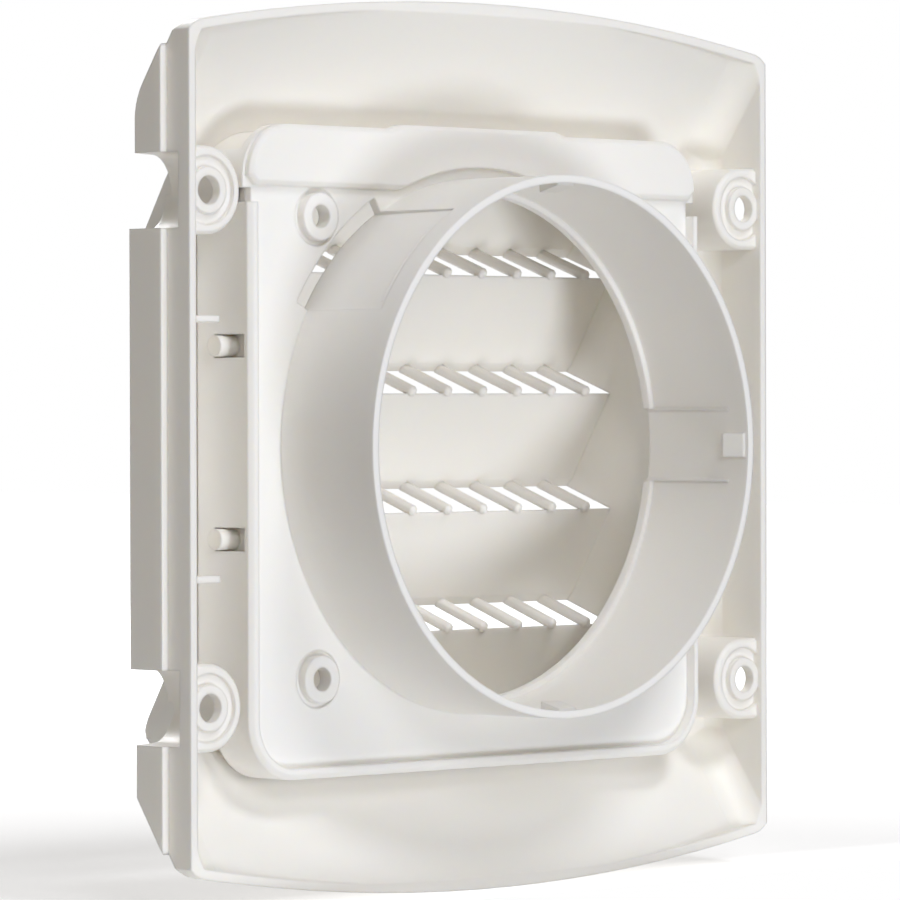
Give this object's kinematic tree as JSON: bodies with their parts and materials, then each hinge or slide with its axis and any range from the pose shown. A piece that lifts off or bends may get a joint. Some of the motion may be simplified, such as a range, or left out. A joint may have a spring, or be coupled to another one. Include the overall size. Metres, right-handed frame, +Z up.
{
  "type": "louvered intake cap",
  "caption": "Moulded plastic wall intake cap: a bowed hood with fixed louvers and guard bars, and a back plate with a round duct collar.",
  "frame": {"origin": "on the axis of the duct collar, in the plane of the wall that the rear rim stands on", "axes": "+Z up, +Y along the collar into the wall, the louvers face -Y, +X to the right seen from the louver side"},
  "size_m": [0.1544, 0.0551, 0.1652],
  "materials": {
    "hood_plastic": "satin moulded warm white",
    "plate_plastic": "satin moulded white"
  },
  "bodies": {
    "root": {"hood_cover": "hood_plastic", "collar_plate": "plate_plastic"}
  },
  "joints": []
}
